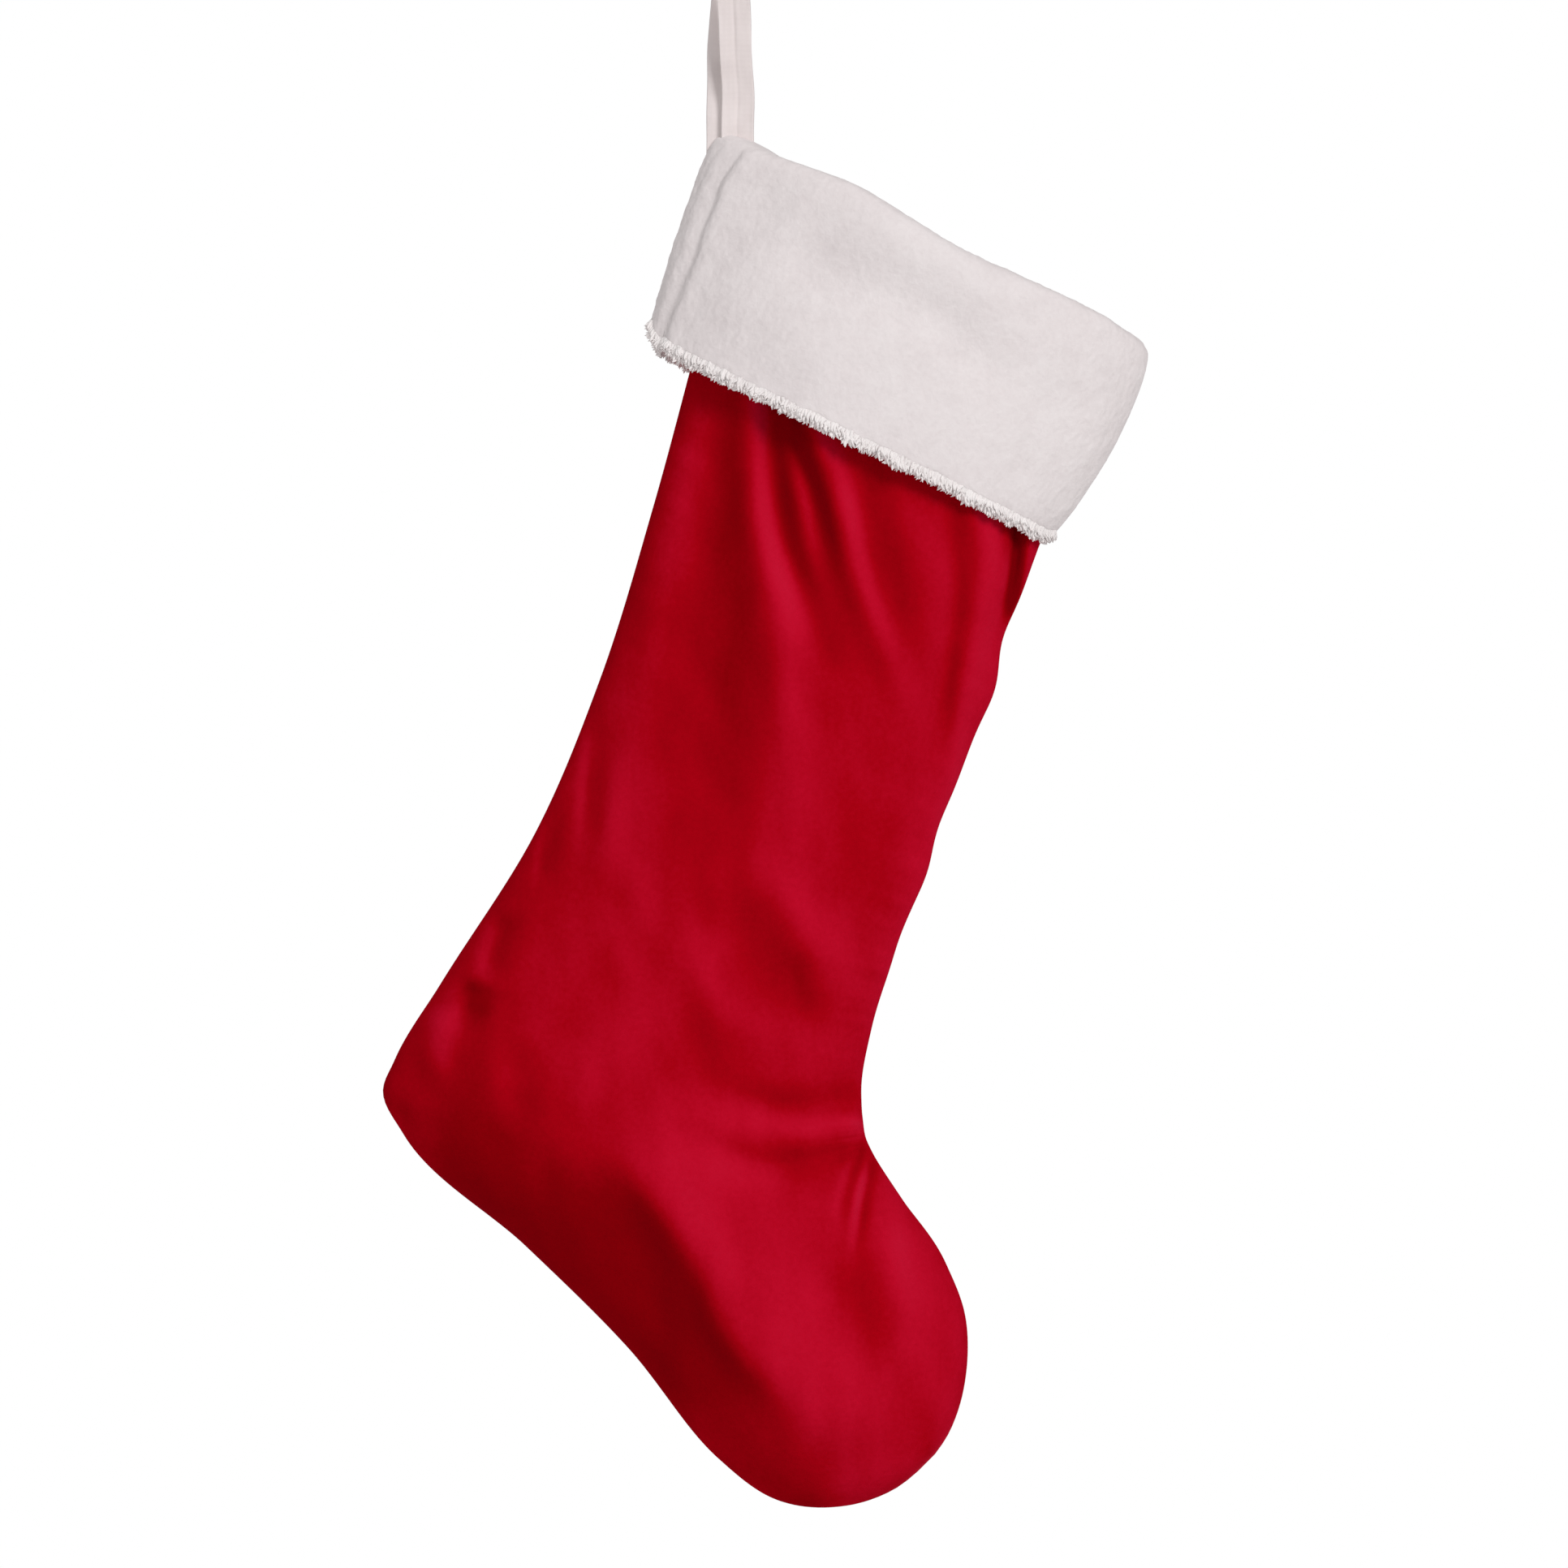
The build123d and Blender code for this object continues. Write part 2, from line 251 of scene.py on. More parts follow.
def nearest(points, path):
    """Distance from each point to a path, the side of it, and how far along it, from 0 to 1."""
    path = np.array(path, float)
    runs = np.diff(path, axis=0)
    lengths = np.linalg.norm(runs, axis=1)
    total = lengths.sum()
    best = np.full(points.shape[:-1], 1e9)
    along = np.zeros(points.shape[:-1])
    side = np.zeros(points.shape[:-1])
    travelled = 0.0
    for start, run, size in zip(path, runs, lengths):
        t = np.clip(((points - start) @ run) / size**2, 0, 1)
        offset = points - (start + t[..., None] * run)
        gap = np.linalg.norm(offset, axis=-1)
        closer = gap < best
        best = np.where(closer, gap, best)
        along = np.where(closer, (travelled + t * size) / total, along)
        side = np.where(closer, run[0] * offset[..., 1] - run[1] * offset[..., 0], side)
        travelled += size
    return best, side, along


def soft_bump(distance, height, spread):
    """A smooth bump of the given height and spread, at a distance from its middle."""
    return height * np.exp(-((distance / spread) ** 2))


def fold(points, path, left, right, height, head, tail):
    """Height of one fold over the points: a soft ridge, or a valley where height is negative.

    The path runs downwards, left and right are the fold's half widths towards -X and +X, and the fold
    swells over its head and dies out over its tail, both as parts of its length.
    """
    route = flow(np.array(path) * mm, 6)
    gap, side, along = nearest(points, route)
    swell = np.clip(along / head, 0, 1) * np.clip((1 - along) / tail, 0, 1)
    swell = swell * swell * (3 - 2 * swell)
    width = np.where(side > 0, right, left) * mm
    return soft_bump(gap, height * mm, width) * swell


# Each fold: the line it follows in X and Z, its half widths and its height, all in mm, then its head and
# tail.
front_folds = [
    # Under the cuff, from the heel side to the toe side
    ([(-12, -160), (-20, -185), (-27, -225), (-42, -300)], 15, 12, 2.2, 0.1, 0.6),
    ([(-4, -155), (-4, -190), (-8, -220), (-6, -265), (-4, -300), (-10, -350)], 19, 16, -2.4, 0.15, 0.35),
    (
        [(8, -150), (8, -183), (11, -213), (15, -241), (18, -267), (24, -310), (34, -352)],
        9, 9, 2.3, 0.05, 0.55,
    ),
    (
        [(17.6, -150), (16.4, -186), (19, -213), (27, -235), (33, -254), (40, -280)],
        6.5, 6.5, -4.6, 0.02, 0.75,
    ),
    ([(22, -160), (25, -182), (30, -200), (34, -222), (38, -240)], 4, 4, -2.2, 0.1, 0.6),
    (
        [(24, -162), (31, -178), (38, -192), (42, -208), (46, -227), (53, -246), (61, -266), (74, -300)],
        6, 6, 2.3, 0.1, 0.7,
    ),
    ([(40, -182), (48, -202), (53, -225), (60, -248), (68, -275)], 6, 11, -1.8, 0.2, 0.6),
    ([(64, -190), (70, -225), (76, -270)], 11, 13, 1.5, 0.3, 0.5),
    ([(79, -200), (83, -225), (80, -262), (78, -315)], 6, 4, -1.1, 0.3, 0.4),
    ([(87, -195), (93, -218), (92, -240), (86, -266), (80, -306), (74, -336)], 6, 7, 2.0, 0.1, 0.5),
    ([(104, -190), (106, -212), (104, -232), (99, -252)], 2.6, 2.2, -4.6, 0.1, 0.4),
    ([(112, -200), (110, -225), (102, -252)], 4, 5, 1.8, 0.1, 0.5),
    # Down the leg's heel side
    ([(-51, -276), (-52, -300), (-54, -332)], 3.5, 7, -1.4, 0.4, 0.5),
    ([(-42, -285), (-44, -315), (-50, -350)], 6, 9, 1.2, 0.4, 0.5),
    ([(-67, -312), (-69, -328), (-71, -348)], 3, 6, -1.3, 0.4, 0.5),
    ([(-84, -350), (-88, -368), (-92, -380)], 4, 6, -1.6, 0.3, 0.4),
    # Heel pocket
    ([(-94, -376), (-97, -388), (-102, -404)], 5, 9, -1.7, 0.2, 0.6),
    ([(-105, -385), (-109, -400), (-106, -420)], 6, 6, 0.9, 0.3, 0.4),
    ([(-74, -395), (-77, -412), (-84, -434)], 9, 10, -1.5, 0.4, 0.4),
    # Slanting over the lower leg to the ankle
    ([(-4, -338), (8, -362), (24, -384), (44, -400)], 11, 10, -1.3, 0.3, 0.5),
    ([(4, -325), (20, -350), (38, -374), (54, -388)], 10, 11, 1.6, 0.3, 0.5),
    ([(-26, -348), (-12, -376), (6, -398), (28, -410)], 11, 10, 1.8, 0.4, 0.5),
    ([(54, -414), (36, -423), (12, -423), (-8, -413), (-20, -396)], 7, 9, -2.3, 0.2, 0.6),
    ([(55, -426), (38, -434), (18, -433), (0, -428)], 5, 6, 1.5, 0.2, 0.6),
    ([(54, -436), (38, -442), (16, -445), (-4, -438), (-24, -422)], 6, 8, -2.2, 0.2, 0.6),
    ([(51, -434), (43, -451), (38, -472)], 2.2, 2.2, -1.0, 0.2, 0.6),
    ([(52, -438), (47, -454), (43, -478)], 2.0, 2.2, 0.9, 0.2, 0.6),
    ([(54, -442), (49, -458), (45, -486)], 2.4, 3.0, -1.4, 0.2, 0.6),
    # The foot's long ridge and the hollow on its sole side
    (
        [(-52, -424), (-40, -440), (-21, -463), (-8, -483), (2, -507), (18, -524), (31, -537), (52, -561)],
        22, 32, 5.6, 0.25, 0.2,
    ),
    ([(-46, -434), (-24, -463), (-11, -484), (-1, -508), (15, -526), (29, -540)], 6, 9, 1.3, 0.3, 0.3),
    ([(-62, -442), (-40, -464), (-24, -488), (-10, -512), (6, -534), (20, -550)], 14, 12, -2.4, 0.3, 0.3),
    ([(34, -470), (42, -498), (54, -524), (62, -546)], 10, 12, -1.4, 0.3, 0.5),
    ([(52, -462), (60, -488), (68, -514)], 10, 9, 1.5, 0.3, 0.5),
]
back_folds = [
    ([(-10, -155), (-18, -190), (-28, -240), (-44, -300)], 14, 11, 2.8, 0.1, 0.6),
    ([(10, -150), (8, -190), (0, -240), (-8, -290)], 8, 9, -4.8, 0.02, 0.6),
    ([(26, -155), (28, -205), (24, -260), (16, -330)], 10, 10, 3.4, 0.1, 0.5),
    ([(44, -165), (48, -215), (50, -260)], 8, 9, -3.2, 0.1, 0.6),
    ([(62, -180), (66, -230), (64, -290), (56, -340)], 10, 9, 2.8, 0.2, 0.5),
    ([(92, -195), (90, -235), (82, -285)], 6, 7, -2.4, 0.1, 0.5),
    ([(-60, -300), (-64, -326), (-72, -352)], 5, 6, -1.6, 0.4, 0.5),
    ([(-98, -380), (-100, -396), (-94, -416)], 4, 7, -2.0, 0.3, 0.5),
    ([(52, -418), (26, -426), (-10, -414), (-44, -394)], 8, 9, -3.2, 0.15, 0.6),
    ([(54, -430), (26, -438), (-4, -430)], 5, 6, 2.2, 0.2, 0.6),
    ([(52, -438), (16, -448), (-18, -440)], 6, 7, -2.8, 0.15, 0.6),
    ([(-48, -426), (-24, -462), (0, -506), (30, -546)], 13, 22, 3.8, 0.2, 0.2),
    ([(-62, -442), (-30, -482), (-8, -520)], 15, 10, -3.6, 0.3, 0.3),
    ([(34, -466), (46, -502), (58, -534)], 10, 12, -1.8, 0.3, 0.5),
]
# Painted shadows and painted highlights on the front's velvet, darker or brighter: the line, its half
# widths in mm, the change, and its head and tail.
front_painted_light_lines = [
    (
        [(-112, -425), (-80, -447), (-52, -466), (-26, -497), (-6, -530), (6, -552)],
        55, 20, -0.26, 0.25, 0.35,
    ),
    ([(30, -566), (52, -562), (72, -546)], 16, 16, 0.16, 0.3, 0.3),
    ([(22, -360), (30, -384), (40, -400)], 5, 6, -0.14, 0.3, 0.4),
    ([(-2, -352), (-18, -376), (-30, -400)], 9, 12, 0.07, 0.3, 0.4),
    ([(58, -470), (66, -496), (74, -524)], 8, 8, 0.06, 0.3, 0.3),
    ([(-60, -392), (-52, -412), (-46, -426)], 12, 12, 0.06, 0.3, 0.3),
    ([(-7, -185), (-6, -225), (-4, -265), (-3, -310), (-10, -356)], 19, 15, -0.16, 0.2, 0.3),
    ([(-66, -345), (-44, -378), (-22, -412)], 24, 26, 0.10, 0.3, 0.3),
    ([(108, -225), (92, -280), (76, -330), (62, -385), (64, -420)], 9, 9, 0.10, 0.15, 0.15),
    ([(-22, -190), (-34, -240), (-52, -300)], 12, 12, 0.07, 0.2, 0.3),
    ([(16, -158), (17, -185), (22, -210), (28, -236)], 6, 5, -0.30, 0.02, 0.75),
    ([(104, -194), (105, -212), (105, -228), (101, -248)], 3.4, 2.8, -1.0, 0.05, 0.3),
    ([(13, -262), (18, -300), (26, -334)], 9, 9, 0.15, 0.3, 0.4),
    ([(88, -205), (91, -230), (84, -262)], 6, 6, 0.10, 0.3, 0.4),
    ([(-24, -165), (-20, -205), (-30, -250)], 12, 14, 0.10, 0.2, 0.4),
    ([(44, -192), (52, -225), (62, -262)], 5, 5, -0.08, 0.2, 0.5),
    ([(20, -174), (28, -186), (34, -198), (38, -214), (42, -234)], 1.8, 1.8, -0.24, 0.1, 0.4),
    ([(2, -360), (14, -378), (34, -394)], 8, 8, -0.08, 0.3, 0.4),
    ([(56, -290), (68, -325), (72, -350)], 10, 12, 0.08, 0.3, 0.4),
    ([(-40, -280), (-44, -310), (-52, -345)], 14, 14, 0.07, 0.3, 0.3),
    ([(-108, -392), (-96, -412), (-82, -430), (-66, -440)], 16, 14, -0.17, 0.3, 0.3),
    ([(-109, -384), (-107, -402), (-104, -420)], 4.5, 5, 0.16, 0.2, 0.4),
    ([(-100, -378), (-93, -386), (-84, -389)], 5, 5, -0.20, 0.2, 0.4),
    ([(54, -437), (38, -446), (18, -450), (-4, -448)], 5, 8, -0.14, 0.1, 0.6),
    ([(53, -441), (50, -456), (46, -480)], 1.8, 1.8, -0.18, 0.1, 0.5),
    ([(-6, -440), (10, -468), (30, -500), (48, -540)], 16, 18, -0.05, 0.3, 0.3),
    ([(24, -165), (60, -190), (100, -206)], 9, 9, -0.10, 0.2, 0.2),
]
# Where the ankle and instep edge swings out or in: height Z, half length of the swing and its size, in mm.
edge_swings = [(-250, 11, -1.8), (-271, 11, 1.7), (-320, 11, -1.0), (-338, 10, 1.0), (-362, 10, -0.7)]
velvet_columns, velvet_rows = 120, 290
puff_power = 1.45  # how flat the panels lie beside their seams
light_side = (0.75, 0.55)  # in X and Z
# Painted light on the velvet: its middle value, and how strongly it follows the folds' slope to the light
# side, the puff's slope and the folds' height.
painted_light_middle, painted_light_slope, painted_light_puff, painted_light_rise = 0.55, 0.85, 0.22, 0.028
pucker_depth, pucker_reach = 1.1 * mm, 8 * mm  # along the stitching
sag_depth, crumple_depth = 1.0 * mm, 0.35 * mm
thinnest = 0.2 * mm  # a panel's least height over the seam's plane


def slopes(flat, height):
    """How steeply the height rises towards +X and towards +Z over the flat pattern."""
    across = np.gradient(flat, axis=1)
    down = np.gradient(flat, axis=0)
    height_across = np.gradient(height, axis=1)
    height_down = np.gradient(height, axis=0)
    area = across[..., 0] * down[..., 1] - across[..., 1] * down[..., 0]
    area = np.where(np.abs(area) < 1e-8, 1e-8, area)
    to_x = (height_across * down[..., 1] - height_down * across[..., 1]) / area
    to_z = (height_down * across[..., 0] - height_across * down[..., 0]) / area
    return to_x, to_z


def velvet_panel(name, facing, folds, painted_light_lines, seed):
    """One panel of the shell: puffed between its seams, folded, and puckered along the stitching.

    Its painted_light attribute holds painted light and shade: 1 where the folds and the puff face the light
    side, 0 where they face away, with ridges painted lighter and valleys darker.
    """
    heel, toe, depth = even_rows(velvet_rows)
    for height, half_length, swing in edge_swings:
        toe[:, 0] += soft_bump(toe[:, 1] / mm - height, swing * mm, half_length) * (toe[:, 0] > heel[:, 0])
    angle = np.linspace(math.pi, 0, velvet_columns)
    share = ((1 + np.cos(angle)) / 2)[None, :, None]
    flat = heel[:, None] * (1 - share) + toe[:, None] * share
    width = np.linalg.norm(toe - heel, axis=1)
    edge = np.minimum(share[..., 0], 1 - share[..., 0]) * width[:, None]
    puffed = (depth[:, None] / 2) * np.sin(angle)[None, :] ** puff_power
    rise = np.zeros(edge.shape)
    for path, left, right, height, head, tail in folds:
        rise += fold(flat, path, left, right, height, head, tail)
    run = np.concatenate([[0], np.cumsum(np.linalg.norm(np.diff(heel, axis=0), axis=1))])
    for row in range(velvet_rows):
        place = run[row] / mm
        for side in (0, 1):
            pucker = noise.noise(Vector((place / 15.0, seed + side * 7.3, 0)))
            pucker += 0.4 * noise.noise(Vector((place / 6.0, seed + side * 3.1, 5)))
            mine = share[0, :, 0] < 0.5 if side == 0 else share[0, :, 0] >= 0.5
            rise[row] += np.where(mine, pucker_depth * pucker * np.exp(-edge[row] / pucker_reach), 0)
        for column in range(velvet_columns):
            x, z = flat[row, column] / mm
            rise[row, column] += sag_depth * noise.noise(Vector((x / 38, z / 60, seed)))
            rise[row, column] += crumple_depth * noise.noise(Vector((x / 11, z / 17, seed + 2)))
    rise *= 1 - np.exp(-((edge / (5 * mm)) ** 1.2))
    height = np.maximum(puffed + rise, np.where(edge > 0, thinnest, 0))
    height[-1] = 0
    fold_x, fold_z = slopes(flat, rise)
    puff_x, puff_z = slopes(flat, puffed)
    # Painted shading: how far the folds, and a little the puff, face the light side.
    towards = -(light_side[0] * fold_x + light_side[1] * fold_z)
    towards -= painted_light_puff * np.clip(light_side[0] * puff_x + light_side[1] * puff_z, -0.8, 0.8)
    # Ridges painted lighter and valleys painted darker, on top of the painted shading.
    painted_light = painted_light_middle + painted_light_slope * towards + painted_light_rise * rise / mm
    # Painted shadows and highlights along the listed lines.
    for path, left, right, change, head, tail in painted_light_lines:
        painted_light += fold(flat, path, left, right, change, head, tail) / mm
    painted_light = np.clip(painted_light, 0, 1)
    points = np.zeros(edge.shape + (3,))
    points[..., 0] = flat[..., 0]
    points[..., 1] = facing * height
    points[..., 2] = flat[..., 1]
    piece = cloth_grid(name, velvet_columns, velvet_rows)
    lay(piece, points)
    face_out(piece, (0, facing, 0))
    piece.data.attributes.new("painted_light", "FLOAT", "POINT").data.foreach_set("value", painted_light.reshape(-1))
    return piece


def noise_height(nodes, links, coords, scale, detail, stretch=None):
    """The value of a noise texture, stretched along one direction where a cloth has one."""
    grain = nodes.new("ShaderNodeTexNoise")
    grain.inputs["Scale"].default_value = scale
    grain.inputs["Detail"].default_value = detail
    if stretch:
        mapping = nodes.new("ShaderNodeMapping")
        mapping.inputs["Rotation"].default_value = (0, lean, 0)
        mapping.inputs["Scale"].default_value = stretch
        links.new(coords, mapping.inputs["Vector"])
        coords = mapping.outputs["Vector"]
    links.new(coords, grain.inputs["Vector"])
    return grain.outputs["Fac"]


def colour_ramp(nodes, links, fac, stops):
    """Colours spread over a value."""
    ramp = nodes.new("ShaderNodeValToRGB")
    while len(ramp.color_ramp.elements) < len(stops):
        ramp.color_ramp.elements.new(0.5)
    for element, (place, colour) in zip(ramp.color_ramp.elements, stops):
        element.position = place
        element.color = (*colour, 1)
    links.new(fac, ramp.inputs["Fac"])
    return ramp


def mixed(nodes, links, first, second, share):
    """One value between two others, with the given share of the second."""
    mix = nodes.new("ShaderNodeMix")
    mix.data_type = "FLOAT"
    mix.inputs["Factor"].default_value = share
    links.new(first, mix.inputs["A"])
    links.new(second, mix.inputs["B"])
    return mix.outputs["Result"]


def relief(nodes, links, height, strength, distance):
    """Fine relief from a height, on the finish's shader."""
    bump = nodes.new("ShaderNodeBump")
    bump.inputs["Strength"].default_value = strength
    bump.inputs["Distance"].default_value = distance
    links.new(height, bump.inputs["Height"])
    links.new(bump.outputs["Normal"], nodes["Principled BSDF"].inputs["Normal"])


def velvet_finish():
    """Deep red velvet with painted light and shade: dark red where its painted_light is low, pink red where it
    is high, mixed with random patches, with fine pile grain in its relief and a pink sheen from its shader.
    """
    values = {"Roughness": 0.9, "Specular IOR Level": 0.0, "Sheen Weight": 0.3, "Sheen Roughness": 0.3}
    values["Sheen Tint"] = (1.0, 0.07, 0.14, 1)
    finish, nodes, links, shader = new_finish("velvet_finish", values)
    coords = nodes.new("ShaderNodeTexCoord").outputs["Object"]
    painted_light_input = nodes.new("ShaderNodeAttribute")
    painted_light_input.attribute_name = "painted_light"
    patches = noise_height(nodes, links, coords, 34, 4, (1.0, 1.0, 0.4))
    grain = noise_height(nodes, links, coords, 520, 3)
    uneven = mixed(nodes, links, patches, grain, 0.3)
    # Painted light and shade from the attribute, mixed with random patches of tone.
    painted_light_and_tone = mixed(nodes, links, painted_light_input.outputs["Fac"], uneven, 0.36)
    # Dark red for the painted shade up to pink red for the painted highlights.
    shade_to_highlight_reds = [
        (0.08, (0.150, 0.0002, 0.0022)),
        (0.34, (0.245, 0.0002, 0.0028)),
        (0.52, (0.360, 0.0005, 0.0060)),
        (0.68, (0.465, 0.0032, 0.0195)),
        (0.92, (0.535, 0.0085, 0.0370)),
    ]
    ramp = colour_ramp(nodes, links, painted_light_and_tone, shade_to_highlight_reds)
    links.new(ramp.outputs["Color"], shader.inputs["Base Color"])
    relief(nodes, links, grain, 0.3, 0.5 * mm)
    return finish


velvet = velvet_finish()
for name, facing, folds, painted_light_lines, seed, node in [
    ("velvet_front", -1, front_folds, front_painted_light_lines, 3.0, "shell_front"),
    ("velvet_back", 1, back_folds, [], 11.0, "shell_back"),
]:
    piece = velvet_panel(name, facing, folds, painted_light_lines, seed)
    piece.data.materials.append(velvet)
    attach(piece, "stocking")
    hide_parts(node)

# ---- Lining ----
# Two plain woven panels, cut smaller than the shell and hung inside it from the mouth seam.
lining_columns, lining_rows = 60, 140
lining_inset = 9 * mm  # inside the shell's edge
lining_gap = 4.5 * mm  # under the shell's face
lining_crumple = 0.7 * mm
lining_end = rows_apart * 13  # the lining's foot stops at this fine row


def lining_panel(name, facing, folds, seed):
    """One lining panel: smaller than the shell all round, pushed in by its folds and slightly crumpled."""
    heel, toe, depth = even_rows(lining_rows, last=lining_end)
    width = np.linalg.norm(toe - heel, axis=1)[:, None]
    angle = np.linspace(math.pi, 0, lining_columns)
    inner = (1 + np.cos(angle)) / 2
    share = (lining_inset + inner[None, :] * (width - 2 * lining_inset)) / width
    flat = heel[:, None] * (1 - share[..., None]) + toe[:, None] * share[..., None]
    height = depth[:, None] / 2 * np.sqrt(np.clip(4 * share * (1 - share), 0, 1)) ** puff_power - lining_gap
    for path, left, right, rise, head, tail in folds:
        if rise < 0:
            height += fold(flat, path, left + 2, right + 2, rise, head, tail)
    for row in range(lining_rows):
        for column in range(1, lining_columns - 1):
            x, z = flat[row, column] / mm
            height[row, column] += lining_crumple * (noise.noise(Vector((x / 16, z / 26, seed))) - 0.4)
    foot_end = np.clip((lining_rows - 1 - np.arange(lining_rows)) / 8, 0, 1) ** 0.5
    height = np.maximum(height, 0.4 * mm) * foot_end[:, None] * (np.sin(angle) > 1e-6)[None, :]
    points = np.zeros(flat.shape[:2] + (3,))
    points[..., 0] = flat[..., 0]
    points[..., 1] = facing * height
    points[..., 2] = flat[..., 1]
    piece = cloth_grid(name, lining_columns, lining_rows)
    lay(piece, points)
    face_out(piece, (0, -facing, 0))
    return piece


def effect(name, inputs, outputs):
    """An empty shader node group that takes coordinates and the named values, and gives the named ones."""
    group = bpy.data.node_groups.new(name, "ShaderNodeTree")
    group.interface.new_socket("Coordinates", in_out="INPUT", socket_type="NodeSocketVector")
    for label in inputs:
        group.interface.new_socket(label, in_out="INPUT", socket_type="NodeSocketFloat")
    for label in outputs:
        group.interface.new_socket(label, in_out="OUTPUT", socket_type="NodeSocketFloat")
    start = group.nodes.new("NodeGroupInput")
    stop = group.nodes.new("NodeGroupOutput")
    return group, start, stop


def place_effect(nodes, links, group, values):
    """The group in one finish, on object coordinates and with that finish's own values."""
    placed = nodes.new("ShaderNodeGroup")
    placed.node_tree = group
    coords = nodes.new("ShaderNodeTexCoord")
    links.new(coords.outputs["Object"], placed.inputs["Coordinates"])
    for label, value in values.items():
        placed.inputs[label].default_value = value
    return placed


def plain_weave():
    """Threads over and under at a set pitch: their height, and a tone with painted shade where the threads dip
    under and a little random unevenness.
    """
    group, start, stop = effect("plain_weave", ["Thread Scale"], ["Height", "Painted Shade and Tone"])
    nodes, links = group.nodes, group.links
    over = nodes.new("ShaderNodeMath")
    over.operation = "MULTIPLY"
    for place, direction in enumerate(("X", "Z")):
        wave = nodes.new("ShaderNodeTexWave")
        wave.bands_direction = direction
        wave.inputs["Distortion"].default_value = 0.6
        wave.inputs["Detail"].default_value = 1.0
        links.new(start.outputs["Coordinates"], wave.inputs["Vector"])
        links.new(start.outputs["Thread Scale"], wave.inputs["Scale"])
        links.new(wave.outputs["Fac"], over.inputs[place])
    uneven = noise_height(nodes, links, start.outputs["Coordinates"], 60, 3)
    painted_light_and_tone = nodes.new("ShaderNodeMath")
    painted_light_and_tone.operation = "ADD"
    links.new(over.outputs["Value"], painted_light_and_tone.inputs[0])
    links.new(uneven, painted_light_and_tone.inputs[1])
    links.new(over.outputs["Value"], stop.inputs["Height"])
    links.new(painted_light_and_tone.outputs["Value"], stop.inputs["Painted Shade and Tone"])
    return group


weave = plain_weave()


def weave_finish(name, dark, light, pitch):
    """Plain woven cotton in two shades, the darker painted as shade where the threads dip under, with its
    threads at the given pitch.
    """
    finish, nodes, links, shader = new_finish(name, {"Roughness": 0.85, "Sheen Weight": 0.15})
    threads = place_effect(nodes, links, weave, {"Thread Scale": 0.314 / pitch})
    ramp = colour_ramp(nodes, links, threads.outputs["Painted Shade and Tone"], [(0.35, dark), (1.0, light)])
    links.new(ramp.outputs["Color"], shader.inputs["Base Color"])
    relief(nodes, links, threads.outputs["Height"], 0.4, 0.2 * mm)
    return finish


cotton = weave_finish("cotton_finish", (0.62, 0.585, 0.56), (0.80, 0.775, 0.75), 0.45 * mm)
for name, facing, folds, seed, node in [
    ("lining_cloth_front", -1, front_folds, 21.0, "lining_front"),
    ("lining_cloth_back", 1, back_folds, 27.0, "lining_back"),
]:
    piece = lining_panel(name, facing, folds, seed)
    piece.data.materials.append(cotton)
    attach(piece, "stocking")
    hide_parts(node)

# ---- Plush cuff ----
# Two pieces of short-pile plush folded over the mouth. The front one stops at a seam just inside the
# heel-side edge, and the back one wraps round that edge to meet it.
cuff_height = 83 * mm
cuff_columns, cuff_steps = 300, 150
pile_lift = 0.45 * mm
inner_ring = (33 * mm, 157 * mm, 14.2 * mm)  # the mouth's inner face: heel u, toe u and half depth


def cuff_profile():
    """The plush from the lower edge of its facing, up, over the mouth, down outside and up behind the hem.

    Each point is how far in it lies, 0 at the outer face and 1 at the mouth's inner face, and its v in mm.
    """
    outline = [
        (0.80, 22.5), (0.90, 24.0), (1.00, 22.0), (1.02, 14.0), (1.00, 6.0), (0.93, 1.8), (0.78, -0.3),
        (0.55, -1.2), (0.32, -0.9), (0.14, 1.0), (0.04, 4.5), (0.0, 10.0), (-0.03, 30.0), (-0.03, 55.0),
        (-0.02, 74.0), (0.0, 79.0), (0.07, 81.6), (0.16, 81.4), (0.22, 78.0), (0.28, 62.0), (0.30, 40.0),
    ]
    line = flow(np.array(outline) * [100 * mm, mm], 12)
    steps = np.linalg.norm(np.diff(line * [0.12, 1], axis=0), axis=1)
    run = np.concatenate([[0], np.cumsum(steps)])
    even = np.linspace(0, run[-1], cuff_steps)
    return np.interp(even, run, line[:, 0]) / (100 * mm), np.interp(even, run, line[:, 1])


def ring_point(angle, v, inner):
    """Pattern u and depth of a point of the ring, outer or inner; angle 0 is at the toe and pi at the heel."""
    share = v / cuff_height
    if inner:
        heel_u, toe_u, half_depth = inner_ring
    else:
        heel_u = (0.5 + 11.5 * share) * mm
        toe_u = (182.4 - 3.9 * share + 3.6 * np.sin(math.pi * share)) * mm
        half_depth = (26.0 + 3.0 * share) * mm
    u = (heel_u + toe_u) / 2 + (toe_u - heel_u) / 2 * np.cos(angle)
    depth = half_depth * np.abs(np.sin(angle)) ** 1.35 * np.sign(np.sin(angle))
    return u, depth


# Soft dips and swells of the cuff's front, as the folds above.
cuff_swells = [
    ([(14, -93), (33, -114), (68, -129), (90, -147), (116, -176)], 11, 13, -3.0, 0.2, 0.3),
    ([(6, -82), (14, -92), (22, -100)], 8, 8, -1.6, 0.4, 0.4),
    ([(40, -92), (76, -112), (112, -136)], 14, 14, 1.4, 0.3, 0.3),
    ([(-12, -120), (20, -140), (50, -165)], 13, 13, 1.2, 0.3, 0.3),
    ([(126, -150), (112, -180), (104, -202)], 10, 10, -1.2, 0.3, 0.3),
]
